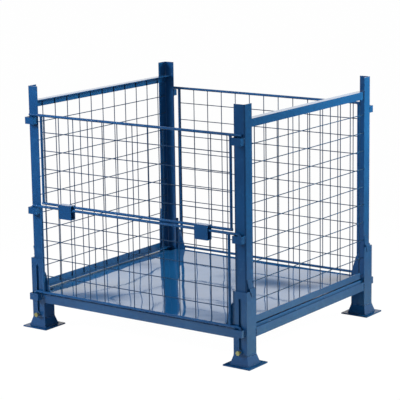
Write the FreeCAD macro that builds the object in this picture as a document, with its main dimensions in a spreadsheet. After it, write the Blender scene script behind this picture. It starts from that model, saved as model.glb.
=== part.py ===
import FreeCAD, Part
import os

import Sketcher

# Collapsible wire mesh container on four bell feet. A welded base carries two
# lift-up end frames, a full-height rear mesh gate and a front made of two half
# gates, the upper of which drops down over the lower one.
# Frame: +X along the front, +Y to the rear, +Z up, origin on the floor at the
# centre of the footprint. Everything is in millimetres.

os.makedirs("parts", exist_ok=True)
doc = FreeCAD.newDocument("mesh_container")

# --------------------------------------------------------------- dimensions
DIMENSIONS = [
    ("outer_length", 1200, "over the legs, along X"),
    ("outer_width", 1050, "over the legs, along Y"),
    ("leg_size", 70, "side of the square leg"),
    ("leg_wall", 4, "sheet thickness of leg and socket"),
    ("leg_bottom", 46, "top face of the foot"),
    ("leg_closed_top", 160, "above this the leg is an open angle"),
    ("socket_top", 327, "top edge of the corner socket"),
    ("slot_width", 13, "guide slot for the pivot bolt"),
    ("bolt_low", 62, "pivot bolt height, frame seated"),
    ("end_lift", 228, "travel of the pivot bolt in its slot"),
    ("gusset_run", 40, "gusset length along the rail"),
    ("gusset_neck", 14, "gusset width at its shoulder"),
    ("gusset_low", 176, "height of the gusset's square toe"),
    ("gusset_mid", 262, "height of the gusset's shoulder"),
    ("gusset_top", 276, "height where the gusset meets the leg"),
    ("foot_flange", 138, "side of the out-turned square flange"),
    ("foot_plate", 6, "flange and seat plate thickness"),
    ("bell_low", 94, "bell side above the flange"),
    ("bell_wall", 4, "bell wall thickness"),
    ("rail_side", 40, "base rails, square tube"),
    ("rail_wall", 3, "base rail wall"),
    ("rail_bottom", 120, "underside of the base rails"),
    ("floor_gauge", 2, "floor sheet thickness"),
    ("floor_top", 171, "top face of the floor sheet"),
    ("floor_inset", 10, "floor's folded edge behind the outer faces"),
    ("floor_bend", 4, "outer bend radius of the folded edge"),
    ("bearer_offset", 190, "cross bearers either side of the middle"),
    ("post_side", 54, "leg of the post angle"),
    ("post_wall", 4, "post angle thickness"),
    ("post_inset", 8, "post outer face behind the leg outer face"),
    ("post_bottom", 50, "lower end of the post inside the leg"),
    ("post_top", 1124, "overall height"),
    ("post_bend", 7, "outer bend radius of the post angle"),
    ("frame_angle", 30, "end frame bottom rail, leg of the angle"),
    ("top_angle", 35, "end frame top rail, leg of the angle"),
    ("frame_wall", 4, "end frame rail thickness"),
    ("rail_reach", 510, "half length of the end frame rails"),
    ("cope_reach", 440, "half length of the bottom rail's upright leg"),
    ("top_rail_low", 1023, "underside of the end frame top rail"),
    ("low_rail_low", 178, "underside of the end frame bottom rail"),
    ("wire", 4, "mesh wire diameter"),
    ("gate_bar", 12, "gate bar diameter"),
    ("mesh_pitch", 83.5, "mesh pitch along X and Z"),
    ("end_mesh_pitch", 87, "end frame mesh pitch along Y"),
    ("end_mesh_shift", 5, "end frame mesh, offset to the rear"),
    ("end_row_pitch", 84.5, "end frame mesh pitch along Z"),
    ("cross_reach", 505, "half length of the end frame cross wires"),
    ("end_wire_top", 951.5, "highest cross wire of an end frame"),
    ("front_shift", 5, "front meshes and hinge loops, offset along X"),
    ("upper_shift", 6, "upper gate bars, offset along X to clear the lower"),
    ("rear_shift", -9, "rear mesh uprights, offset along X"),
    ("gate_side", 519, "gate side bars from the middle"),
    ("peg_span", 575, "bent-down gate pegs from the middle"),
    ("peg_bend", 15, "bend radius of the peg, centre line"),
    ("peg_drop", 34.5, "bar centre to peg tip"),
    ("lower_plane", 534, "lower gate bars from the middle"),
    ("upper_plane", 523.5, "upper gate bars from the middle"),
    ("lower_bottom", 173, "bottom bar of the lower gate"),
    ("lower_top", 577, "top bar of the lower gate, the drop axis"),
    ("lower_wire_top", 505.5, "highest cross wire of the lower gate"),
    ("upper_bottom", 590.5, "bottom bar of the upper gate"),
    ("upper_top", 995, "top bar of the upper gate"),
    ("upper_wire_top", 918.5, "highest cross wire of the upper gate"),
    ("upper_span", 581, "half length of the upper gate top bar"),
    ("rear_bottom", 180, "bottom bar of the rear gate"),
    ("rear_top", 993, "top bar of the rear gate"),
    ("rear_wire_top", 918, "highest cross wire of the rear gate"),
    ("keeper_wide", 48, "keeper front plate, along X"),
    ("keeper_tall", 32, "keeper height"),
    ("keeper_gauge", 4, "keeper strip thickness"),
    ("keeper_out", 28, "keeper stand-off from the post face"),
    ("keeper_edge", 590, "outer edge of the post keepers"),
    ("base_keeper_edge", 592, "outer edge of the base keepers"),
    ("keeper_top_level", 986, "top edge of the top keepers"),
    ("keeper_mid_level", 570, "top edge of the middle keepers"),
    ("keeper_base_level", 166, "top edge of the base keepers"),
    ("loop_centre", 376, "drop hinge loops from the middle"),
    ("loop_wide", 70, "drop hinge loop width"),
    ("loop_gauge", 3, "drop hinge strip thickness"),
    ("loop_low", 534, "underside of the loop"),
    ("loop_play", 1.5, "gap between loop and lower gate bar"),
    ("lug_wide", 40, "locking lug width at its shoulder"),
    ("lug_thick", 10, "locking lug thickness in the notch"),
    ("lug_strap", 5, "thickness of the lug's upper strap"),
    ("lug_low", 303, "lower end of the locking lug"),
    ("lug_shoulder", 340, "shoulder above the notch"),
    ("lug_high", 380, "upper end of the strap"),
    ("lug_inner", 464, "inner edge of the lug from the middle"),
    ("lug_slant", 16, "slant of the lug's front edge"),
    ("lug_lean", 8, "forward lean of the front strap"),
    ("lug_rake", 16, "rake of the strap's rear edge"),
    ("lug_play", 1.2, "gap around the lug in its notch"),
    ("bolt_shank", 12, "pivot bolt diameter"),
    ("bolt_flats", 19, "bolt head and nut across flats"),
    ("head_tall", 7.5, "bolt head height"),
    ("nut_tall", 10, "nut height"),
    ("washer_wide", 24, "washer diameter"),
    ("washer_gauge", 2.5, "washer thickness"),
    ("bolt_standoff", 12, "bare shank between washer and head"),
    ("bolt_hole", 13, "bolt hole in the post"),
    ("bore_play", 0.06, "play between shank and nut or washer"),
]

sheet = doc.addObject("Spreadsheet::Sheet", "dims")
VALUE = {}
for row, (alias, number, note) in enumerate(DIMENSIONS, start=1):
    sheet.set("A%d" % row, alias)
    sheet.set("B%d" % row, str(number))
    sheet.set("C%d" % row, note)
    sheet.setAlias("B%d" % row, alias)
    VALUE[alias] = number
doc.recompute()

# Names used in expressions, longest first so that no name is cut short.
ALIASES = sorted(VALUE, key=len, reverse=True)


def bound(text):
    """Prefix each dimension name in an expression with the sheet's name."""
    out = ""
    i = 0
    while i < len(text):
        hit = None
        if text[i].isalpha() and (i == 0 or not (text[i - 1].isalnum() or text[i - 1] in "._")):
            for alias in ALIASES:
                follower = text[i + len(alias):i + len(alias) + 1]
                if text.startswith(alias, i) and not (follower.isalnum() or follower == "_"):
                    hit = alias
                    break
        if hit:
            out += "dims." + hit
            i += len(hit)
        else:
            out += text[i]
            i += 1
    return out


def bind(obj, path, text):
    obj.setExpression(path, bound(str(text)))


def place(obj, x="0", y="0", z="0"):
    bind(obj, "Placement.Base.x", "(%s) * 1mm" % x)
    bind(obj, "Placement.Base.y", "(%s) * 1mm" % y)
    bind(obj, "Placement.Base.z", "(%s) * 1mm" % z)


def turned(obj, axis, angle):
    obj.Placement = FreeCAD.Placement(FreeCAD.Vector(), FreeCAD.Rotation(axis, angle))


X_AXIS = FreeCAD.Vector(1, 0, 0)
Y_AXIS = FreeCAD.Vector(0, 1, 0)
Z_AXIS = FreeCAD.Vector(0, 0, 1)

HALF_X = "outer_length / 2"
HALF_Y = "outer_width / 2"
CORNERS = [("front_left", -1, -1), ("front_right", 1, -1), ("rear_left", -1, 1), ("rear_right", 1, 1)]
SIDES = [("left", -1), ("right", 1)]
NODES = []


def node(obj, label):
    """Register a finished sub-part under the name of its file."""
    obj.Label = label
    NODES.append(obj)
    return obj


def inward(sign, outer, size):
    """Low coordinate of a span that starts at sign * outer and runs inward."""
    if sign < 0:
        return "-(%s)" % outer
    return "(%s) - (%s)" % (outer, size)


# --------------------------------------------------------- shape primitives
def box(size, low):
    obj = doc.addObject("Part::Box", "Block")
    for prop, text in zip(("Length", "Width", "Height"), size):
        bind(obj, prop, "(%s) * 1mm" % text)
    place(obj, *low)
    return obj


def rod(diameter, length, start, axis="z"):
    """A round rod that runs from start along +X, +Y or +Z."""
    obj = doc.addObject("Part::Cylinder", "Rod")
    if axis == "x":
        turned(obj, Y_AXIS, 90)
    if axis == "y":
        turned(obj, X_AXIS, -90)
    bind(obj, "Radius", "(%s) / 2 * 1mm" % diameter)
    bind(obj, "Height", "(%s) * 1mm" % length)
    place(obj, *start)
    return obj


def taper(x_low, y_low, x_high, y_high, z_range):
    """A block whose X and Y spans change linearly from its lower to its upper face."""
    obj = doc.addObject("Part::Wedge", "Taper")
    turned(obj, X_AXIS, 90)
    bind(obj, "Ymin", "(%s) * 1mm" % z_range[0])
    bind(obj, "Ymax", "(%s) * 1mm" % z_range[1])
    bind(obj, "Xmin", "(%s) * 1mm" % x_low[0])
    bind(obj, "Xmax", "(%s) * 1mm" % x_low[1])
    bind(obj, "Zmin", "-(%s) * 1mm" % y_low[1])
    bind(obj, "Zmax", "-(%s) * 1mm" % y_low[0])
    bind(obj, "X2min", "(%s) * 1mm" % x_high[0])
    bind(obj, "X2max", "(%s) * 1mm" % x_high[1])
    bind(obj, "Z2min", "-(%s) * 1mm" % y_high[1])
    bind(obj, "Z2max", "-(%s) * 1mm" % y_high[0])
    return obj


def hexagon(flats, height, start, axis_angle):
    """A hexagonal prism on the Y axis, from start towards +Y or, turned over, -Y."""
    obj = doc.addObject("Part::Prism", "Hex")
    obj.Polygon = 6
    turned(obj, X_AXIS, axis_angle)
    bind(obj, "Circumradius", "(%s) / sqrt(3) * 1mm" % flats)
    bind(obj, "Height", "(%s) * 1mm" % height)
    place(obj, *start)
    return obj


def cut(base, tool):
    obj = doc.addObject("Part::Cut", "Cut")
    obj.Base = base
    obj.Tool = tool
    return obj


def fuse(shapes):
    obj = doc.addObject("Part::MultiFuse", "Fuse")
    obj.Shapes = shapes
    obj.Refine = True
    return obj


def group(shapes):
    obj = doc.addObject("Part::Compound", "Group")
    obj.Links = shapes
    return obj


# --------------------------------------------------------- sketched bodies
def plane_of(body, role):
    return [f for f in body.Origin.OriginFeatures if f.Role == role][0]


def outline(sketch, points):
    """A closed polygon whose corners are held to the origin by bound distances."""
    first = sketch.GeometryCount
    count = len(points)
    for i in range(count):
        a = FreeCAD.Vector(10.0 * i, 7.0 * (i % 3), 0)
        b = FreeCAD.Vector(10.0 * (i + 1), 7.0 * ((i + 1) % 3), 0)
        sketch.addGeometry(Part.LineSegment(a, b), False)
    for i in range(count):
        follower = first + (i + 1) % count
        sketch.addConstraint(Sketcher.Constraint("Coincident", first + i, 2, follower, 1))
    for i, (u, v) in enumerate(points):
        for kind, text in (("DistanceX", u), ("DistanceY", v)):
            index = sketch.addConstraint(Sketcher.Constraint(kind, -1, 1, first + i, 1, 5.0))
            bind(sketch, "Constraints[%d]" % index, "(%s) * 1mm" % text)


def sketched(label, role, loops, length, low, reverse=False, bend=None):
    """A body padded from one sketch; bend rounds edges along the pad near given points."""
    body = doc.addObject("PartDesign::Body", "Body")
    sketch = body.newObject("Sketcher::SketchObject", "Profile")
    sketch.AttachmentSupport = (plane_of(body, role), [""])
    sketch.MapMode = "FlatFace"
    for points in loops:
        outline(sketch, points)
    pad = body.newObject("PartDesign::Pad", "Pad")
    pad.Profile = sketch
    pad.Reversed = reverse
    bind(pad, "Length", "(%s) * 1mm" % length)
    body.Tip = pad
    doc.recompute()
    for spot, radius in bend or []:
        before = body.Tip
        shape = before.Shape
        names = []
        for i, edge in enumerate(shape.Edges, start=1):
            mid = edge.CenterOfMass
            near = abs(mid.x - spot[0]) < 0.01 and abs(mid.y - spot[1]) < 0.01
            if near and abs(edge.Length - shape.BoundBox.ZLength) < 0.01:
                names.append("Edge%d" % i)
        fillet = body.newObject("PartDesign::Fillet", "Bend")
        fillet.Base = (before, names)
        bind(fillet, "Radius", "(%s) * 1mm" % radius)
        body.Tip = fillet
        doc.recompute()
    place(body, *low)
    if label:
        node(body, label)
    return body


def rectangle(u_low, v_low, u_high, v_high):
    return [(u_low, v_low), (u_high, v_low), (u_high, v_high), (u_low, v_high)]


def tube_loops(side, wall):
    inner = "(%s) - (%s)" % (side, wall)
    return [rectangle("0", "0", side, side), rectangle(wall, wall, inner, inner)]


# ---------------------------------------------------------------- the base
# Feet: a pressed bell with an out-turned flange and a seat plate at its head.
# The hollow drops over the post tops of the container below.
for corner, sx, sy in CORNERS:
    cx = "%d * (outer_length - leg_size) / 2" % sx
    cy = "%d * (outer_width - leg_size) / 2" % sy

    def about(centre, side):
        return ("%s - (%s) / 2" % (centre, side), "%s + (%s) / 2" % (centre, side))

    flange = box(("foot_flange", "foot_flange", "foot_plate"),
                 ("%s - foot_flange / 2" % cx, "%s - foot_flange / 2" % cy, "0"))
    bell = taper(about(cx, "bell_low"), about(cy, "bell_low"), about(cx, "leg_size"),
                 about(cy, "leg_size"), ("foot_plate", "leg_bottom"))
    mouth = "bell_low - 2 * bell_wall + 4"
    hollow = taper(about(cx, mouth), about(cy, mouth),
                   about(cx, "leg_size - 2 * leg_wall"), about(cy, "leg_size - 2 * leg_wall"),
                   ("-1", "leg_bottom - foot_plate"))
    node(cut(fuse([flange, bell]), hollow), "foot_%s" % corner)

# Legs: a closed square section up to the rails, then an open angle that is the
# socket of the post. The socket has a guide slot for the pivot bolt in its
# front or rear wall, a notch for the locking lug in its side wall, and a gusset.
for corner, sx, sy in CORNERS:
    tall = "socket_top - leg_bottom"
    shell = box(("leg_size", "leg_size", tall),
                (inward(sx, HALF_X, "leg_size"), inward(sy, HALF_Y, "leg_size"), "leg_bottom"))
    bore = box(("leg_size - 2 * leg_wall", "leg_size - 2 * leg_wall", "%s + 2" % tall),
               (inward(sx, HALF_X + " - leg_wall", "leg_size - 2 * leg_wall"),
                inward(sy, HALF_Y + " - leg_wall", "leg_size - 2 * leg_wall"), "leg_bottom - 1"))
    opening = box(("leg_size", "leg_size", tall),
                  (inward(sx, HALF_X + " - leg_wall", "leg_size"),
                   inward(sy, HALF_Y + " - leg_wall", "leg_size"), "leg_closed_top"))
    slot_x = "%d * (outer_length - leg_size) / 2" % sx
    slot_y = inward(sy, HALF_Y + " + 2", "leg_wall + 4")
    slot = fuse([
        box(("slot_width", "leg_wall + 4", "end_lift"), (slot_x + " - slot_width / 2", slot_y, "bolt_low")),
        rod("slot_width", "leg_wall + 4", (slot_x, slot_y, "bolt_low"), "y"),
        rod("slot_width", "leg_wall + 4", (slot_x, slot_y, "bolt_low + end_lift"), "y"),
    ])
    # The notch follows the slanted front edge of the lug, which faces the same
    # way on all four posts, and stays open at the top for the lift.
    tip = "-lug_inner - lug_wide" if sy < 0 else "lug_inner"
    slant = "lug_slant * (lug_shoulder - socket_top - 1) / (lug_shoulder - lug_low)"
    notch_x = (inward(sx, HALF_X + " + 2", "leg_wall + 4"),
               inward(sx, HALF_X + " + 2", "leg_wall + 4") + " + leg_wall + 4")
    notch = taper(notch_x, (tip + " + lug_slant - lug_play", tip + " + lug_wide + lug_play"),
                  notch_x, (tip + " + " + slant + " - lug_play", tip + " + lug_wide + lug_play"),
                  ("lug_low - lug_play", "socket_top + 1"))
    gusset_y = inward(sy, HALF_Y, "leg_wall")
    root = "%d * (outer_length / 2 - leg_size)" % sx
    y_span = (gusset_y, gusset_y + " + leg_wall")

    def out_to(width):
        edge = "%d * (outer_length / 2 - leg_size - %s)" % (sx, width)
        return (root, edge) if sx < 0 else (edge, root)

    toe = box(("gusset_run", "leg_wall", "gusset_low - leg_closed_top"),
              (root if sx < 0 else root + " - gusset_run", gusset_y, "leg_closed_top"))
    flank = taper(out_to("gusset_run"), y_span, out_to("gusset_neck"), y_span, ("gusset_low", "gusset_mid"))
    shoulder = taper(out_to("gusset_neck"), y_span, out_to("0.5"), y_span, ("gusset_mid", "gusset_top"))
    walls = cut(cut(cut(cut(shell, bore), opening), slot), notch)
    node(fuse([walls, toe, flank, shoulder]), "leg_%s" % corner)

# Rails and bearers: square tube between the legs.
LEG_IN_X = "outer_length / 2 - leg_size"
LEG_IN_Y = "outer_width / 2 - leg_size"
RAIL = tube_loops("rail_side", "rail_wall")
sketched("front_base_rail", "YZ_Plane", RAIL, "2 * (%s)" % LEG_IN_X,
         ("-(%s)" % LEG_IN_X, "-" + HALF_Y, "rail_bottom"))
sketched("rear_base_rail", "YZ_Plane", RAIL, "2 * (%s)" % LEG_IN_X,
         ("-(%s)" % LEG_IN_X, HALF_Y + " - rail_side", "rail_bottom"))
sketched("left_base_rail", "XZ_Plane", RAIL, "2 * (%s)" % LEG_IN_Y,
         ("-" + HALF_X, LEG_IN_Y, "rail_bottom"))
sketched("right_base_rail", "XZ_Plane", RAIL, "2 * (%s)" % LEG_IN_Y,
         (HALF_X + " - rail_side", LEG_IN_Y, "rail_bottom"))
bearers = []
for sign in (-1, 1):
    bearers.append(sketched(None, "XZ_Plane", RAIL, "outer_width - 2 * rail_side",
                            ("%d * bearer_offset - rail_side / 2" % sign,
                             HALF_Y + " - rail_side", "floor_top - floor_gauge - rail_side")))
node(group(bearers), "floor_bearers")


# Floor: one sheet with its edges folded down onto the rails, notched round the
# four legs. The outer and the inner face of the fold are made as two blocks.
def notched(inset):
    """The floor's outline, with a notch at each leg, set in by the given amount."""
    long_x = "(%s - floor_inset - (%s))" % (HALF_X, inset)
    long_y = "(%s - floor_inset - (%s))" % (HALF_Y, inset)
    short_x = "(%s - (%s))" % (LEG_IN_X, inset)
    short_y = "(%s - (%s))" % (LEG_IN_Y, inset)
    return [
        ("-" + short_x, "-" + long_y), (short_x, "-" + long_y),
        (short_x, "-" + short_y), (long_x, "-" + short_y),
        (long_x, short_y), (short_x, short_y),
        (short_x, long_y), ("-" + short_x, long_y),
        ("-" + short_x, short_y), ("-" + long_x, short_y),
        ("-" + long_x, "-" + short_y), ("-" + short_x, "-" + short_y),
    ]


def rounded_block(inset, top, radius):
    """The notched outline from the rails up to top, with its upper edges rounded."""
    body = sketched(None, "XY_Plane", [notched(inset)], "(%s) - leg_closed_top" % top,
                    ("0", "0", "0"))
    pad = body.Tip
    high = pad.Shape.BoundBox.ZMax
    names = []
    for i, edge in enumerate(pad.Shape.Edges, start=1):
        if abs(edge.BoundBox.ZMin - high) < 0.01:
            names.append("Edge%d" % i)
    fold = body.newObject("PartDesign::Fillet", "Fold")
    fold.Base = (pad, names)
    bind(fold, "Radius", "(%s) * 1mm" % radius)
    body.Tip = fold
    place(body, "0", "0", "leg_closed_top")
    doc.recompute()
    return body


node(cut(rounded_block("0", "floor_top", "floor_bend"),
         rounded_block("floor_gauge", "floor_top - floor_gauge", "floor_bend - floor_gauge")),
     "floor_sheet")


def keeper(sx, sy, face, edge, level, seat):
    """A strap keeper, open at the top: a plate that stands off the face between two
    returns, with a seat under the gate's peg where the gate hangs in it."""
    low = level + " - keeper_tall"
    plate_y = inward(sy, face + " + keeper_out", "keeper_gauge")
    depth_y = inward(sy, face + " + keeper_out", "keeper_out")
    inner_edge = edge + " - keeper_wide + keeper_gauge"
    parts = [
        box(("keeper_wide", "keeper_gauge", "keeper_tall"),
            (inward(sx, edge, "keeper_wide"), plate_y, low)),
        box(("keeper_gauge", "keeper_out", "keeper_tall"),
            (inward(sx, edge, "keeper_gauge"), depth_y, low)),
        box(("keeper_gauge", "keeper_out", "keeper_tall"),
            (inward(sx, inner_edge, "keeper_gauge"), depth_y, low)),
    ]
    if seat:
        parts.append(box(("keeper_wide", "keeper_out", "keeper_gauge"),
                         (inward(sx, edge, "keeper_wide"), depth_y, low)))
    return fuse(parts)


# The pivot bolts pass behind the base keepers, so these have no seat.
base_keepers = []
for corner, sx, sy in CORNERS:
    base_keepers.append(keeper(sx, sy, HALF_Y, "base_keeper_edge", "keeper_base_level", False))
node(group(base_keepers), "base_keepers")

# --------------------------------------------------------------- end frames
POST_X = "outer_length / 2 - post_inset"
POST_Y = "outer_width / 2 - post_inset"
POST_IN_Y = POST_Y + " - post_wall"


def post(label, sx, sy):
    """An angle with its corner outermost, open to the inside of the container,
    with a bolt hole near its lower end."""
    u = "%d * post_side" % -sx
    v = "%d * post_side" % -sy
    wall_u = "%d * post_wall" % -sx
    wall_v = "%d * post_wall" % -sy
    points = [("0", "0"), (u, "0"), (u, wall_v), (wall_u, wall_v), (wall_u, v), ("0", v)]
    corner = ((0.0, 0.0), "post_bend")
    inner = ((-sx * VALUE["post_wall"], -sy * VALUE["post_wall"]), "post_bend - post_wall")
    angle = sketched(None, "XY_Plane", [points], "post_top - post_bottom",
                     ("%d * (%s)" % (sx, POST_X), "%d * (%s)" % (sy, POST_Y), "post_bottom"),
                     bend=[corner, inner])
    hole = rod("bolt_hole", "post_wall + 2",
               ("%d * (outer_length - leg_size) / 2" % sx,
                inward(sy, POST_Y + " + 1", "post_wall + 2"), "bolt_low"), "y")
    return node(cut(angle, hole), label)


for side, sx in SIDES:
    post("%s_front_post" % side, sx, -1)
    post("%s_rear_post" % side, sx, 1)
    # Rails: angles with the upright leg outside, against the posts' side walls.
    # The top rail's flange is at its head; the bottom rail's flange is at its
    # foot and runs on past the coped ends of the upright leg.
    upright_x = inward(sx, POST_X + " - post_wall", "frame_wall")
    flange_x = inward(sx, POST_X + " - post_wall", "frame_angle")
    top_flange_x = inward(sx, POST_X + " - post_wall", "top_angle")
    node(fuse([
        box(("frame_wall", "2 * rail_reach", "top_angle"), (upright_x, "-rail_reach", "top_rail_low")),
        box(("top_angle", "2 * rail_reach", "frame_wall"),
            (top_flange_x, "-rail_reach", "top_rail_low + top_angle - frame_wall")),
    ]), "%s_top_rail" % side)
    node(fuse([
        box(("frame_wall", "2 * cope_reach", "frame_angle"), (upright_x, "-cope_reach", "low_rail_low")),
        box(("frame_angle", "2 * rail_reach", "frame_wall"), (flange_x, "-rail_reach", "low_rail_low")),
    ]), "%s_bottom_rail" % side)

    # Mesh: nine cross wires against the posts' side walls and, inside them,
    # eleven uprights against the upright legs of the rails.
    cross_plane = "%d * (%s - post_wall - wire / 2)" % (sx, POST_X)
    upright_plane = "%d * (%s - post_wall - 1.5 * wire)" % (sx, POST_X)
    uprights = []
    for i in range(11):
        uprights.append(rod("wire", "top_rail_low - low_rail_low + top_angle - 4 * frame_wall",
                            (upright_plane, "end_mesh_shift + %d * end_mesh_pitch" % (i - 5),
                             "low_rail_low + 2 * frame_wall")))
    node(group(uprights), "%s_mesh_uprights" % side)
    crosses = []
    for i in range(9):
        crosses.append(rod("wire", "2 * cross_reach",
                           (cross_plane, "-cross_reach", "end_wire_top - %d * end_row_pitch" % i), "y"))
    node(group(crosses), "%s_mesh_cross_wires" % side)

    # Keepers: top and middle on the front post, top on the rear post.
    node(group([
        keeper(sx, -1, POST_Y, "keeper_edge", "keeper_top_level", True),
        keeper(sx, -1, POST_Y, "keeper_edge", "keeper_mid_level", True),
        keeper(sx, 1, POST_Y, "keeper_edge", "keeper_top_level", True),
    ]), "%s_keepers" % side)

    # Locking lugs: a thick tongue that sits in the socket's notch, under a
    # thinner strap, both on the outer side of the post.
    lugs = []
    for sy in (-1, 1):
        tip = "-lug_inner - lug_wide" if sy < 0 else "lug_inner"
        lean = "lug_lean" if sy < 0 else "0"

        def outward(thick):
            low = inward(sx, POST_X + " + " + thick, thick)
            return (low, low + " + " + thick)

        tongue = taper(outward("lug_thick"), (tip + " + lug_slant", tip + " + lug_wide"),
                       outward("lug_thick"), (tip, tip + " + lug_wide"), ("lug_low", "lug_shoulder"))
        strap_top = (tip + " - " + lean, tip + " + lug_wide - lug_rake - " + lean)
        strap = taper(outward("lug_strap"), (tip, tip + " + lug_wide"),
                      outward("lug_strap"), strap_top, ("lug_shoulder", "lug_high"))
        lugs.append(fuse([tongue, strap]))
    node(group(lugs), "%s_locking_lugs" % side)

    # Pivot bolts: head and washer outside the socket, nut inside the post.
    bolts = []
    nuts = []
    washers = []
    bolt_x = "%d * (outer_length - leg_size) / 2" % sx
    for sy in (-1, 1):
        under_head = "%d * (outer_width / 2 + washer_gauge + bolt_standoff)" % sy
        shank_low = under_head
        shank_long = "bolt_standoff + washer_gauge + post_inset + post_wall + nut_tall - 1"
        if sy > 0:
            shank_low = "outer_width / 2 - post_inset - post_wall - nut_tall + 1"
        bore_y = "%d * (%s - nut_tall / 2) - nut_tall / 2 - 2" % (sy, POST_IN_Y)
        bore = rod("bolt_shank + bore_play", "nut_tall + 4", (bolt_x, bore_y, "bolt_low"), "y")
        nut = hexagon("bolt_flats", "nut_tall",
                      (bolt_x, "%d * (%s)" % (sy, POST_IN_Y), "bolt_low"), -90 if sy < 0 else 90)
        nuts.append(cut(nut, bore))
        head = hexagon("bolt_flats", "head_tall",
                       (bolt_x, under_head, "bolt_low"), 90 if sy < 0 else -90)
        shank = rod("bolt_shank", shank_long, (bolt_x, shank_low, "bolt_low"), "y")
        bolts.append(fuse([head, shank]))
        washer_y = "-(%s) - washer_gauge" % HALF_Y if sy < 0 else HALF_Y
        washers.append(cut(rod("washer_wide", "washer_gauge", (bolt_x, washer_y, "bolt_low"), "y"),
                           rod("bolt_shank + bore_play", "washer_gauge + 2",
                               (bolt_x, washer_y + " - 1", "bolt_low"), "y")))
    node(group(bolts), "%s_pivot_bolts" % side)
    node(group(nuts), "%s_pivot_nuts" % side)
    node(group(washers), "%s_pivot_washers" % side)


# -------------------------------------------------------------------- gates
def pegged_bar(label, plane, level):
    """A round bar with both ends bent down into pegs that drop in the keepers."""
    reach = "peg_span - peg_bend"
    parts = [rod("gate_bar", "2 * (%s)" % reach, ("-(%s)" % reach, plane, level), "x")]
    for sx in (-1, 1):
        bend = doc.addObject("Part::Torus", "Bend")
        turn = FreeCAD.Rotation(X_AXIS, 90)
        if sx < 0:
            turn = turn.multiply(FreeCAD.Rotation(Z_AXIS, 90))
        bend.Placement = FreeCAD.Placement(FreeCAD.Vector(), turn)
        bend.Angle3 = 90
        bind(bend, "Radius1", "peg_bend * 1mm")
        bind(bend, "Radius2", "gate_bar / 2 * 1mm")
        place(bend, "%d * (%s)" % (sx, reach), plane, level + " - peg_bend")
        parts.append(bend)
        parts.append(rod("gate_bar", "peg_drop - peg_bend",
                         ("%d * peg_span" % sx, plane, level + " - peg_drop")))
    return node(fuse(parts), label)


def side_bars(label, plane, low, high, shift="0"):
    bars = []
    for sx in (-1, 1):
        bars.append(rod("gate_bar", "(%s) - (%s) - gate_bar" % (high, low),
                        ("%d * gate_side + %s" % (sx, shift), plane, low + " + gate_bar / 2")))
    return node(group(bars), label)


def gate_mesh(prefix, sy, plane, low, high, wire_top, rows, shift, bar_shift="0"):
    """Thirteen uprights on the inner side, cross wires between the side bars outside."""
    inner = "%d * (%s - wire / 2)" % (sy, plane)
    outer = "%d * (%s + wire / 2)" % (sy, plane)
    uprights = []
    for i in range(13):
        uprights.append(rod("wire", "(%s) - (%s) - gate_bar" % (high, low),
                            ("%d * mesh_pitch + %s" % (i - 6, shift), inner,
                             low + " + gate_bar / 2")))
    node(group(uprights), "%s_mesh_uprights" % prefix)
    crosses = []
    for i in range(rows):
        crosses.append(rod("wire", "2 * gate_side - gate_bar",
                           ("-gate_side + gate_bar / 2 + %s" % bar_shift, outer,
                            "%s - %d * mesh_pitch" % (wire_top, i)), "x"))
    node(group(crosses), "%s_mesh_cross_wires" % prefix)


pegged_bar("lower_gate_top_bar", "-lower_plane", "lower_top")
pegged_bar("lower_gate_bottom_bar", "-lower_plane", "lower_bottom")
side_bars("lower_gate_side_bars", "-lower_plane", "lower_bottom", "lower_top")
gate_mesh("lower_gate", -1, "lower_plane", "lower_bottom", "lower_top", "lower_wire_top", 4,
          "front_shift")

node(rod("gate_bar", "2 * upper_span", ("-upper_span", "-upper_plane", "upper_top"), "x"),
     "upper_gate_top_bar")
node(rod("gate_bar", "2 * gate_side + gate_bar",
         ("-gate_side - gate_bar / 2 + upper_shift", "-upper_plane", "upper_bottom"), "x"),
     "upper_gate_bottom_bar")
side_bars("upper_gate_side_bars", "-upper_plane", "upper_bottom", "upper_top", "upper_shift")
gate_mesh("upper_gate", -1, "upper_plane", "upper_bottom", "upper_top", "upper_wire_top", 4,
          "front_shift", "upper_shift")

# Drop hinge loops: strip bent round the upper gate's bottom bar and, with play,
# round the lower gate's top bar, between two uprights of the mesh.
loops = []
for sx in (-1, 1):
    front = "-lower_plane - gate_bar / 2 - loop_play"
    rear = "-upper_plane + gate_bar / 2"
    top = "upper_bottom + gate_bar / 2"
    outer = rectangle(front + " - loop_gauge", "loop_low", rear + " + loop_gauge", top + " + loop_gauge")
    inner = rectangle(front, "loop_low + loop_gauge", rear, top)
    loops.append(sketched(None, "YZ_Plane", [outer, inner], "loop_wide",
                          ("%d * loop_centre + front_shift - loop_wide / 2" % sx, "0", "0")))
node(group(loops), "drop_hinge_loops")

pegged_bar("rear_gate_top_bar", "lower_plane", "rear_top")
pegged_bar("rear_gate_bottom_bar", "lower_plane", "rear_bottom")
side_bars("rear_gate_side_bars", "lower_plane", "rear_bottom", "rear_top")
gate_mesh("rear_gate", 1, "lower_plane", "rear_bottom", "rear_top", "rear_wire_top", 9,
          "rear_shift")

# --------------------------------------------------------- check and export
doc.recompute()
for obj in doc.Objects:
    if "Invalid" in obj.State or "Error" in obj.State:
        raise RuntimeError("failed feature: %s %s" % (obj.Name, obj.State))
for obj in NODES:
    shape = obj.Shape
    if shape.isNull() or not shape.isValid() or shape.Volume <= 0:
        raise RuntimeError("bad shape: %s" % obj.Label)
for obj in NODES:
    obj.Shape.exportStep("parts/%s.step" % obj.Label)
    size = obj.Shape.BoundBox
    print("%-28s solids %2d  volume %10.0f  z %7.1f %7.1f" %
          (obj.Label, len(obj.Shape.Solids), obj.Shape.Volume, size.ZMin, size.ZMax))
print("nodes", len(NODES))
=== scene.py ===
"""Blender looks for the collapsible wire mesh container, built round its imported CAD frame."""
import math
import random

import bmesh
import bpy
from mathutils import Matrix, Vector


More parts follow.
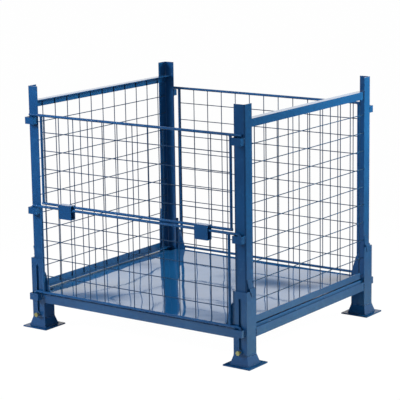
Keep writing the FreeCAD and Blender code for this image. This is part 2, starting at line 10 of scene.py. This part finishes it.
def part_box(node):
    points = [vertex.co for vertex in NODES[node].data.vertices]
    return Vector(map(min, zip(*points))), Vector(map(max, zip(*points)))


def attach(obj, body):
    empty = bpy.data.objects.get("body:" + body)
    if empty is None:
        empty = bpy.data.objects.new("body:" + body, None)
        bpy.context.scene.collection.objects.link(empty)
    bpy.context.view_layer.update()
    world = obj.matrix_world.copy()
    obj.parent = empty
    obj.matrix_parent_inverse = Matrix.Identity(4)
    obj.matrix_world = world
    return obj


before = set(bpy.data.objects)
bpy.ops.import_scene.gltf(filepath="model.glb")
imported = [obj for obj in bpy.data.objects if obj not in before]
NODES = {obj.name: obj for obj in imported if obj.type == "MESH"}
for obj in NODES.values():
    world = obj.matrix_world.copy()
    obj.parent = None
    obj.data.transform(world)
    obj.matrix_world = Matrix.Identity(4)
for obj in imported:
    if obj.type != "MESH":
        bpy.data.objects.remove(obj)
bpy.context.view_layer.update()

scene = bpy.context.scene
MM = 0.001
random.seed(11)


# ------------------------------------------------------------- materials
class Shader:
    """A small helper that builds one Principled material node by node."""

    def __init__(self, name, color, roughness, metallic=0.0, **sockets):
        self.mat = bpy.data.materials.new(name)
        self.mat.use_nodes = True
        self.mat.diffuse_color = (*color, 1)
        self.tree = self.mat.node_tree
        self.bsdf = self.tree.nodes["Principled BSDF"]
        self.bsdf.inputs["Base Color"].default_value = (*color, 1)
        self.bsdf.inputs["Roughness"].default_value = roughness
        self.bsdf.inputs["Metallic"].default_value = metallic
        for key, value in sockets.items():
            self.bsdf.inputs[key.replace("_", " ")].default_value = value
        self.coords = self.tree.nodes.new("ShaderNodeTexCoord").outputs["Object"]

    def link(self, a, b):
        self.tree.links.new(a, b)

    def noise(self, scale, detail=3.0, rough=0.55, stretch=(1, 1, 1)):
        mapping = self.tree.nodes.new("ShaderNodeMapping")
        mapping.inputs["Scale"].default_value = stretch
        self.link(self.coords, mapping.inputs["Vector"])
        n = self.tree.nodes.new("ShaderNodeTexNoise")
        n.inputs["Scale"].default_value = scale
        n.inputs["Detail"].default_value = detail
        n.inputs["Roughness"].default_value = rough
        self.link(mapping.outputs["Vector"], n.inputs["Vector"])
        return n.outputs["Fac"]

    def ramp(self, value, stops):
        r = self.tree.nodes.new("ShaderNodeValToRGB")
        first, last = stops[0], stops[-1]
        r.color_ramp.elements[0].position = first[0]
        r.color_ramp.elements[0].color = (*first[1], 1)
        r.color_ramp.elements[1].position = last[0]
        r.color_ramp.elements[1].color = (*last[1], 1)
        for position, color in stops[1:-1]:
            stop = r.color_ramp.elements.new(position)
            stop.color = (*color, 1)
        self.link(value, r.inputs["Fac"])
        return r.outputs["Color"]

    def spread(self, value, low, high, start=0.3, end=0.7):
        m = self.tree.nodes.new("ShaderNodeMapRange")
        m.inputs["From Min"].default_value = start
        m.inputs["From Max"].default_value = end
        m.inputs["To Min"].default_value = low
        m.inputs["To Max"].default_value = high
        self.link(value, m.inputs["Value"])
        return m.outputs["Result"]

    def mix(self, factor, a, b):
        m = self.tree.nodes.new("ShaderNodeMix")
        m.data_type = "RGBA"
        self.link(factor, m.inputs["Factor"])
        for socket, value in ((m.inputs["A"], a), (m.inputs["B"], b)):
            if isinstance(value, tuple):
                socket.default_value = (*value, 1)
            else:
                self.link(value, socket)
        return m.outputs["Result"]

    def product(self, a, b):
        m = self.tree.nodes.new("ShaderNodeMath")
        m.operation = "MULTIPLY"
        for socket, value in zip(m.inputs, (a, b)):
            if isinstance(value, (int, float)):
                socket.default_value = value
            else:
                self.link(value, socket)
        return m.outputs["Value"]

    def bump(self, height, strength, distance, after=None):
        b = self.tree.nodes.new("ShaderNodeBump")
        b.inputs["Strength"].default_value = strength
        b.inputs["Distance"].default_value = distance
        self.link(height, b.inputs["Height"])
        if after is not None:
            self.link(after, b.inputs["Normal"])
        return b.outputs["Normal"]

    def wear(self, amount):
        """Rubbed convex edges, broken up by noise."""
        geometry = self.tree.nodes.new("ShaderNodeNewGeometry")
        edge = self.spread(geometry.outputs["Pointiness"], 0, 1, 0.52, 0.60)
        patch = self.spread(self.noise(38, 4), 0, 1, 0.56, 0.66)
        return self.product(self.product(edge, patch), amount)

    def set(self, socket, value):
        self.link(value, self.bsdf.inputs[socket])


BLUE = (0.007, 0.055, 0.168)
BLUE_DEEP = (0.006, 0.045, 0.142)
BLUE_RUBBED = (0.020, 0.095, 0.240)
BAR_BLUE = (0.004, 0.064, 0.195)
FLOOR_BLUE = (0.008, 0.066, 0.190)
FLOOR_BLUE_DEEP = (0.006, 0.052, 0.160)
WIRE_BLUE = (0.010, 0.038, 0.100)
WIRE_BLUE_DEEP = (0.006, 0.024, 0.066)
ZINC_BLOOM = [(0.35, (0.42, 0.36, 0.13)), (0.55, (0.46, 0.44, 0.24)), (0.7, (0.34, 0.42, 0.27))]
FRAME_GLOSS = 0.5      # specular level of the frame's paint
FOOT_SHADE_GLOSS = 0.16      # painted shade: a duller copy of the frame's paint makes the feet look shaded


def frame_paint(name, specular):
    """Thick gloss paint with a slight orange peel."""
    s = Shader(name, BLUE, 0.15, Specular_IOR_Level=specular)
    base = s.mix(s.spread(s.noise(5.5, 4), 0, 1), BLUE, BLUE_DEEP)
    s.set("Base Color", s.mix(s.wear(0.2), base, BLUE_RUBBED))
    s.set("Roughness", s.spread(s.noise(24, 5), 0.11, 0.20))
    fine = s.bump(s.noise(420, 2), 0.04, 0.0004)
    s.set("Normal", s.bump(s.noise(60, 2), 0.04, 0.0010, after=fine))
    return s.mat


def bar_paint():
    """Thinner paint on the drawn round bars, less glossy than on the sections."""
    s = Shader("gate_bar_paint", BLUE, 0.4, Specular_IOR_Level=0.34)
    s.set("Base Color", s.mix(s.spread(s.noise(14, 4), 0, 1), BAR_BLUE, BLUE_DEEP))
    s.set("Roughness", s.spread(s.noise(50, 4), 0.24, 0.36))
    s.set("Normal", s.bump(s.noise(240, 2), 0.1, 0.0004))
    return s.mat


def weld_paint():
    """The same paint over the ripples of a weld bead, pooled a little darker."""
    s = Shader("painted_weld", BLUE, 0.24, Coat_Weight=0.2, Coat_Roughness=0.1, Specular_IOR_Level=0.45)
    s.set("Base Color", s.mix(s.spread(s.noise(160, 3), 0, 1), BLUE, BLUE_DEEP))
    s.set("Roughness", s.spread(s.noise(220, 3), 0.16, 0.34))
    s.set("Normal", s.bump(s.noise(500, 2), 0.2, 0.0005))
    return s.mat


def floor_paint():
    """Mirror-like paint on a sheet that is very slightly wavy."""
    s = Shader("floor_sheet_paint", BLUE, 0.04, Specular_IOR_Level=0.5)
    s.set("Base Color", s.mix(s.spread(s.noise(2.0, 3), 0, 1), FLOOR_BLUE, FLOOR_BLUE_DEEP))
    s.set("Roughness", s.spread(s.noise(9, 5), 0.03, 0.075))
    wave = s.bump(s.noise(2.9, 0.0, 0.4, stretch=(0.9, 1.2, 1)), 1.0, 0.012)
    s.set("Normal", s.bump(s.noise(9, 1), 0.25, 0.0015, after=wave))
    return s.mat


def wire_paint():
    """Dull, dark paint on the thin mesh wires."""
    s = Shader("mesh_wire_paint", WIRE_BLUE, 0.35, Specular_IOR_Level=0.22)
    s.set("Base Color", s.mix(s.spread(s.noise(40, 3), 0, 1), WIRE_BLUE, WIRE_BLUE_DEEP))
    s.set("Roughness", s.spread(s.noise(70, 4), 0.28, 0.42))
    s.set("Normal", s.bump(s.noise(300, 2), 0.15, 0.0004))
    return s.mat


def zinc():
    """Yellow passivated zinc, with the faint green bloom that it has."""
    s = Shader("yellow_zinc", (0.62, 0.55, 0.25), 0.3, metallic=0.9)
    s.set("Base Color", s.ramp(s.noise(60, 3), ZINC_BLOOM))
    s.set("Roughness", s.spread(s.noise(130, 4), 0.22, 0.42))
    s.set("Normal", s.bump(s.noise(500, 2), 0.1, 0.0003))
    return s.mat


FRAME_PAINT = frame_paint("frame_blue_paint", FRAME_GLOSS)
# painted shade: the feet get a duller copy of the frame's paint so that they look shaded
FOOT_SHADED_PAINT = frame_paint("foot_shaded_blue_paint", FOOT_SHADE_GLOSS)
BAR_PAINT = bar_paint()
WELD_PAINT = weld_paint()
FLOOR_PAINT = floor_paint()
WIRE_PAINT = wire_paint()
ZINC = zinc()


def soften(obj, width, segments=2):
    """Rounds the sharp edges of a CAD node with a modifier; its mesh is left as it is."""
    m = obj.modifiers.new("edge_round", "BEVEL")
    m.width = width
    m.segments = segments
    m.limit_method = "ANGLE"
    m.angle_limit = math.radians(40)
    m.harden_normals = False
    m.use_clamp_overlap = True


for name, obj in NODES.items():
    if "pivot" in name:
        material = FRAME_PAINT if "washer" in name else ZINC
        soften(obj, 0.4 * MM)
    elif name == "floor_sheet":
        material = FLOOR_PAINT
    elif "mesh" in name:
        material = WIRE_PAINT
    elif "gate" in name:
        material = BAR_PAINT
    else:
        # the feet take the duller copy of the frame's paint, which is painted shade
        material = FOOT_SHADED_PAINT if "foot" in name else FRAME_PAINT
        soften(obj, 0.6 * MM)
    obj.data.materials.clear()
    obj.data.materials.append(material)


# ------------------------------------------------------------------ places
def solids(node):
    """The box of each separate solid of a CAD node, as (low, high) pairs."""
    bm = bmesh.new()
    bm.from_mesh(NODES[node].data)
    bmesh.ops.remove_doubles(bm, verts=bm.verts, dist=0.01 * MM)
    left = set(bm.verts)
    boxes = []
    while left:
        stack = [left.pop()]
        part = []
        while stack:
            v = stack.pop()
            part.append(v.co.copy())
            for edge in v.link_edges:
                other = edge.other_vert(v)
                if other in left:
                    left.remove(other)
                    stack.append(other)
        low = Vector([min(p[i] for p in part) for i in range(3)])
        high = Vector([max(p[i] for p in part) for i in range(3)])
        boxes.append((low, high))
    bm.free()
    return sorted(boxes, key=lambda b: tuple(round(c, 5) for c in b[0]))


# ------------------------------------------------------------- weld beads
RIPPLE = 2.6 * MM      # pitch of the ripples along a bead
RING = 8               # corners of a bead's section
RAIL_RUN = 36 * MM     # length of the bead under a rail's end
GUSSET_TALL = 106 * MM # height of the bead up a gusset
POST_LAP = 42 * MM     # how far an end frame's rail laps a post
BELL_HALF = 47 * MM    # half width of a bell where it meets its flange
STITCH_HALF = 14       # half length of a stitch on the floor's edge, in mm
STITCHES_X = (-420, -210, 0, 210, 420)
STITCHES_Y = (-340, -120, 120, 340)


def bead(bm, start, end, radius):
    """A rippled weld bead along a straight joint; half of it lies in the metal."""
    start, end = Vector(start), Vector(end)
    length = (end - start).length
    along = (end - start).normalized()
    across = along.orthogonal().normalized()
    upward = along.cross(across)
    count = max(6, round(length / RIPPLE * 3))
    rings = []
    for i in range(count + 1):
        t = i / count
        taper = min(1.0, 0.35 + 3.0 * min(t, 1 - t) * length / (4 * radius))
        ripple = 1 + 0.16 * abs(math.sin(math.pi * t * length / RIPPLE))
        size = radius * taper * ripple * random.uniform(0.93, 1.05)
        centre = start + along * (t * length) + across * random.uniform(-0.06, 0.06) * radius
        ring = []
        for k in range(RING):
            a = 2 * math.pi * k / RING
            ring.append(bm.verts.new(centre + (across * math.cos(a) + upward * math.sin(a)) * size))
        rings.append(ring)
    for a, b in zip(rings, rings[1:]):
        for k in range(RING):
            bm.faces.new((a[k], a[(k + 1) % RING], b[(k + 1) % RING], b[k]))
    bm.faces.new(rings[0][::-1])
    bm.faces.new(rings[-1])


def nugget(bm, centre, size):
    """The small lump left where two crossing wires are welded."""
    turn = Matrix.Rotation(random.uniform(0, math.pi), 4, "Z")
    scale = Matrix.Diagonal((*[s * random.uniform(0.85, 1.1) for s in size], 1))
    bmesh.ops.create_icosphere(bm, subdivisions=1, radius=1,
                               matrix=Matrix.Translation(centre) @ scale @ turn)


def piece(name, bm, body, material):
    """Make a bmesh into a smooth-shaded piece that rides on a CAD body."""
    bmesh.ops.recalc_face_normals(bm, faces=bm.faces)
    mesh = bpy.data.meshes.new(name)
    bm.to_mesh(mesh)
    bm.free()
    for polygon in mesh.polygons:
        polygon.use_smooth = True
    mesh.materials.append(material)
    obj = bpy.data.objects.new(name, mesh)
    scene.collection.objects.link(obj)
    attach(obj, body)
    return obj


def base_beads():
    """Legs to rails, gussets, feet, floor and base keepers."""
    bm = bmesh.new()
    rail_low, rail_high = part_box("front_base_rail")
    side_low, side_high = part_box("right_base_rail")
    floor_low, floor_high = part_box("floor_sheet")
    for corner in ("front_left", "front_right", "rear_left", "rear_right"):
        sx = -1 if "left" in corner else 1
        sy = -1 if "front" in corner else 1
        leg_low, leg_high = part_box("leg_" + corner)
        foot_low, foot_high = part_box("foot_" + corner)
        out_x = sx * side_high.x
        out_y = sy * -rail_low.y
        in_x = sx * rail_high.x
        in_y = sy * side_high.y
        # front or rear rail to leg, on its outer and its lower face
        bead(bm, (in_x, out_y, rail_low.z + 2 * MM), (in_x, out_y, rail_high.z - 2 * MM), 2.6 * MM)
        bead(bm, (in_x, out_y - sy * 3 * MM, rail_low.z), (in_x, out_y - sy * RAIL_RUN, rail_low.z), 2.4 * MM)
        # side rail to leg
        bead(bm, (out_x, in_y, side_low.z + 2 * MM), (out_x, in_y, side_high.z - 2 * MM), 2.6 * MM)
        bead(bm, (out_x - sx * 3 * MM, in_y, side_low.z), (out_x - sx * RAIL_RUN, in_y, side_low.z), 2.4 * MM)
        # gusset to leg and to rail
        reach = leg_low.x if sx > 0 else leg_high.x
        bead(bm, (in_x, out_y, rail_high.z + 4 * MM), (in_x, out_y, rail_high.z + GUSSET_TALL), 1.9 * MM)
        bead(bm, (in_x, out_y - sy * 4 * MM, rail_high.z + 14 * MM),
             (in_x, out_y - sy * 4 * MM, rail_high.z + GUSSET_TALL), 2.2 * MM)
        bead(bm, (in_x - sx * 3 * MM, out_y, rail_high.z),
             (reach + sx * 2 * MM, out_y, rail_high.z), 2.0 * MM)
        # foot to leg, and flange to bell
        half = (out_x - in_x) / 2 * sx
        centre_x, centre_y = (foot_low.x + foot_high.x) / 2, (foot_low.y + foot_high.y) / 2
        for z, side, radius in ((foot_high.z, half, 2.4 * MM), (foot_low.z + 6 * MM, BELL_HALF, 2.2 * MM)):
            ring = [(-side, -side), (side, -side), (side, side), (-side, side)]
            for (ax, ay), (bx, by) in zip(ring, ring[1:] + ring[:1]):
                bead(bm, (centre_x + ax, centre_y + ay, z), (centre_x + bx, centre_y + by, z), radius)
    # stitches that hold the folded floor edge on the rails
    for sy in (-1, 1):
        for x in STITCHES_X:
            y = sy * floor_high.y
            start, end = (x - STITCH_HALF) * MM, (x + STITCH_HALF) * MM
            bead(bm, (start, y, floor_low.z), (end, y, floor_low.z), 1.8 * MM)
    for sx in (-1, 1):
        for y in STITCHES_Y:
            x = sx * floor_high.x
            start, end = (y - STITCH_HALF) * MM, (y + STITCH_HALF) * MM
            bead(bm, (x, start, floor_low.z), (x, end, floor_low.z), 1.8 * MM)
    for low, high in solids("base_keepers"):
        keeper_bead(bm, low, high)
    return piece("base_weld_beads", bm, "base", WELD_PAINT)


def keeper_bead(bm, low, high):
    """The upright welds where a keeper's two returns meet its post or leg."""
    y = high.y if high.y < 0 else low.y
    for x in (low.x, high.x):
        bead(bm, (x, y, low.z + 1 * MM), (x, y, high.z - 1 * MM), 2.0 * MM)


def end_beads(side, sx):
    """Rails, keepers and lugs to the posts of one end frame."""
    bm = bmesh.new()
    front_low, front_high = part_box("%s_front_post" % side)
    outer = sx * max(abs(front_low.x), abs(front_high.x))
    edge = -front_high.y
    for rail in ("top_rail", "bottom_rail"):
        low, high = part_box("%s_%s" % (side, rail))
        face = sx * max(abs(low.x), abs(high.x))
        if rail == "top_rail":
            for sy in (-1, 1):
                bead(bm, (face, sy * edge, low.z + 1 * MM), (face, sy * edge, high.z - 1 * MM), 2.3 * MM)
                for z in (low.z, high.z):
                    bead(bm, (face, sy * (edge + 2 * MM), z), (face, sy * (edge + POST_LAP), z), 2.0 * MM)
        else:
            for sy in (-1, 1):
                bead(bm, (face, sy * (edge + 2 * MM), low.z + 4 * MM),
                     (face, sy * (edge + POST_LAP), low.z + 4 * MM), 2.0 * MM)
    for low, high in solids("%s_keepers" % side):
        keeper_bead(bm, low, high)
    for low, high in solids("%s_locking_lugs" % side):
        for y in (low.y + 9 * MM, high.y):
            bead(bm, (outer, y, low.z + 42 * MM), (outer, y, high.z - 10 * MM), 1.7 * MM)
    return piece("%s_end_weld_beads" % side, bm, "%s_end" % side, WELD_PAINT)


def gate_beads(gate, body):
    """Side bars to the top and bottom bars, and the hinge loops to theirs."""
    bm = bmesh.new()
    for low, high in solids("%s_side_bars" % gate):
        centre = (low + high) / 2
        half = (high.x - low.x) / 2
        for z in (low.z, high.z):
            for y in (low.y + 1.5 * MM, high.y - 1.5 * MM):
                bead(bm, (centre.x - half, y, z), (centre.x + half, y, z), 1.8 * MM)
            for x in (low.x + 1 * MM, high.x - 1 * MM):
                bead(bm, (x, centre.y - 3 * MM, z), (x, centre.y + 3 * MM, z), 1.6 * MM)
    if gate == "upper_gate":
        bar_low, bar_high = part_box("upper_gate_bottom_bar")
        for low, high in solids("drop_hinge_loops"):
            for x in (low.x, high.x):
                bead(bm, (x, bar_low.y, bar_high.z - 1 * MM), (x, bar_high.y, bar_high.z - 1 * MM), 1.7 * MM)
                bead(bm, (x, bar_high.y, bar_low.z + 2 * MM), (x, bar_high.y, bar_high.z - 1 * MM), 1.6 * MM)
    return piece("%s_weld_beads" % gate, bm, body, WELD_PAINT)


def mesh_nuggets(prefix, body, span, thin):
    """A lump at each crossing of a mesh and at each wire's end. span is the axis
    along which the cross wires run and thin is the axis across the mesh."""
    bm = bmesh.new()
    uprights = solids("%s_mesh_uprights" % prefix)
    crosses = solids("%s_mesh_cross_wires" % prefix)
    for low, high in uprights:
        centre = (low + high) / 2
        for z in (low.z, high.z):
            spot = Vector(centre)
            spot.z = z
            nugget(bm, spot, (3.0 * MM, 3.0 * MM, 2.6 * MM))
        for c_low, c_high in crosses:
            spot = Vector(centre)
            spot.z = (c_low.z + c_high.z) / 2
            spot[thin] = (spot[thin] + (c_low[thin] + c_high[thin]) / 2) / 2
            nugget(bm, spot, (2.7 * MM, 2.7 * MM, 2.7 * MM))
    for low, high in crosses:
        for end in (low, high):
            spot = (low + high) / 2
            spot[span] = end[span]
            nugget(bm, spot, (2.8 * MM, 2.8 * MM, 2.8 * MM))
    return piece("%s_mesh_welds" % prefix, bm, body, WIRE_PAINT)


base_beads()
for side, sx in (("left", -1), ("right", 1)):
    end_beads(side, sx)
    mesh_nuggets(side, "%s_end" % side, span=1, thin=0)
for gate, body in (("lower_gate", "front_lower_gate"), ("upper_gate", "front_upper_gate"),
                   ("rear_gate", "rear_gate")):
    gate_beads(gate, body)
    mesh_nuggets(gate, body, span=0, thin=1)


# ------------------------------------------------------------ stage, camera
LIT_REACH = 3.0        # how far the bright part of the floor reaches, in metres
DOME = 1.5             # brightness of the dome at the horizon
FLOOR_FADE = [(0.0, 0.90), (0.35, 0.82), (0.9, 0.18)]               # (share of LIT_REACH, grey)
DOME_FADE = [(0.0, 1.0), (0.26, 0.95), (0.31, 0.24), (1.0, 0.22)]   # (height on the dome, grey)


def seen_or_lit(tree, seen, lit):
    """One shader for what the view sees directly and one for what lights the object."""
    path = tree.nodes.new("ShaderNodeLightPath")
    mix = tree.nodes.new("ShaderNodeMixShader")
    tree.links.new(path.outputs["Is Camera Ray"], mix.inputs["Fac"])
    tree.links.new(lit, mix.inputs[1])
    tree.links.new(seen, mix.inputs[2])
    return mix.outputs["Shader"]


def fade(tree, value, stops):
    """A grey that follows a value through (position, brightness) stops."""
    ramp = tree.nodes.new("ShaderNodeValToRGB")
    elements = ramp.color_ramp.elements
    for element, (position, grey) in zip(elements, (stops[0], stops[-1])):
        element.position = position
        element.color = (grey, grey, grey, 1)
    for position, grey in stops[1:-1]:
        elements.new(position).color = (grey, grey, grey, 1)
    tree.links.new(value, ramp.inputs["Fac"])
    return ramp.outputs["Color"]


def studio_floor(size, z):
    """Pale all over to the view; the object itself sees it brightest close by."""
    bpy.ops.mesh.primitive_plane_add(size=size, location=(0, 0, z))
    obj = bpy.context.object
    obj.name = "studio_floor"
    mat = bpy.data.materials.new("studio_floor")
    mat.use_nodes = True
    tree = mat.node_tree
    matte = tree.nodes["Principled BSDF"]
    matte.inputs["Roughness"].default_value = 0.9
    place = tree.nodes.new("ShaderNodeTexCoord")
    reach = tree.nodes.new("ShaderNodeVectorMath")
    reach.operation = "LENGTH"
    tree.links.new(place.outputs["Object"], reach.inputs[0])
    near = tree.nodes.new("ShaderNodeMath")
    near.operation = "DIVIDE"
    near.inputs[1].default_value = LIT_REACH
    tree.links.new(reach.outputs["Value"], near.inputs[0])
    grey = fade(tree, near.outputs["Value"], FLOOR_FADE)
    tree.links.new(grey, matte.inputs["Base Color"])
    glow = tree.nodes.new("ShaderNodeEmission")
    glow.inputs["Strength"].default_value = 1.03
    pale = tree.nodes.new("ShaderNodeMixShader")
    pale.inputs["Fac"].default_value = 0.96
    tree.links.new(matte.outputs["BSDF"], pale.inputs[1])
    tree.links.new(glow.outputs["Emission"], pale.inputs[2])
    surface = seen_or_lit(tree, pale.outputs["Shader"], matte.outputs["BSDF"])
    tree.links.new(surface, tree.nodes["Material Output"].inputs["Surface"])
    obj.data.materials.append(mat)


def studio_world():
    """White to the view; a soft dome, bright near the horizon, to the object."""
    world = bpy.data.worlds.new("studio_world")
    scene.world = world
    world.use_nodes = True
    tree = world.node_tree
    white = tree.nodes["Background"]
    white.inputs["Color"].default_value = (1, 1, 1, 1)
    white.inputs["Strength"].default_value = 1.0
    place = tree.nodes.new("ShaderNodeTexCoord")
    split = tree.nodes.new("ShaderNodeSeparateXYZ")
    tree.links.new(place.outputs["Generated"], split.inputs["Vector"])
    dome = tree.nodes.new("ShaderNodeBackground")
    dome.inputs["Strength"].default_value = DOME
    grey = fade(tree, split.outputs["Z"], DOME_FADE)
    tree.links.new(grey, dome.inputs["Color"])
    surface = seen_or_lit(tree, white.outputs["Background"], dome.outputs["Background"])
    tree.links.new(surface, tree.nodes["World Output"].inputs["Surface"])


def area_light(name, location, target, size, power, spread, color=(1, 1, 1)):
    data = bpy.data.lights.new(name, "AREA")
    data.shape = "RECTANGLE"
    data.size, data.size_y = size
    data.energy = power
    data.spread = math.radians(spread)
    data.color = color
    obj = bpy.data.objects.new(name, data)
    obj.visible_glossy = False
    obj.location = location
    obj.rotation_euler = (Vector(target) - Vector(location)).to_track_quat("-Z", "Y").to_euler()
    scene.collection.objects.link(obj)


studio_floor(60, -0.5 * MM)
studio_world()
area_light("key", (-2.6, -2.9, 2.6), (-0.6, -0.5, 1.0), (1.4, 1.4), 16, spread=40,
           color=(0.9, 1.0, 1.0))
area_light("side", (1.9, 2.3, 1.9), (0.6, 0.5, 1.05), (1.2, 1.2), 26, spread=45,
           color=(0.75, 1.15, 0.95))

YAW, PITCH, ROLL = math.radians(35.848), math.radians(11.618), math.radians(-0.879)
DISTANCE = 7.719
TARGET = Vector((-0.01375, 0.0, 0.5678))
FOCAL_PX = 1665.5
FRAME_PX = 400
SENSOR_MM = 36.0

camera_data = bpy.data.cameras.new("camera")
camera_data.sensor_width = SENSOR_MM
camera_data.lens = FOCAL_PX / FRAME_PX * SENSOR_MM
camera_data.clip_end = 200
camera = bpy.data.objects.new("camera", camera_data)
scene.collection.objects.link(camera)
turn = (Matrix.Rotation(YAW, 4, "Z") @ Matrix.Rotation(math.pi / 2 - PITCH, 4, "X")
        @ Matrix.Rotation(ROLL, 4, "Z"))
forward = turn.to_3x3() @ Vector((0, 0, -1))
camera.matrix_world = Matrix.Translation(TARGET - forward * DISTANCE) @ turn
scene.camera = camera

scene.view_settings.view_transform = "Standard"
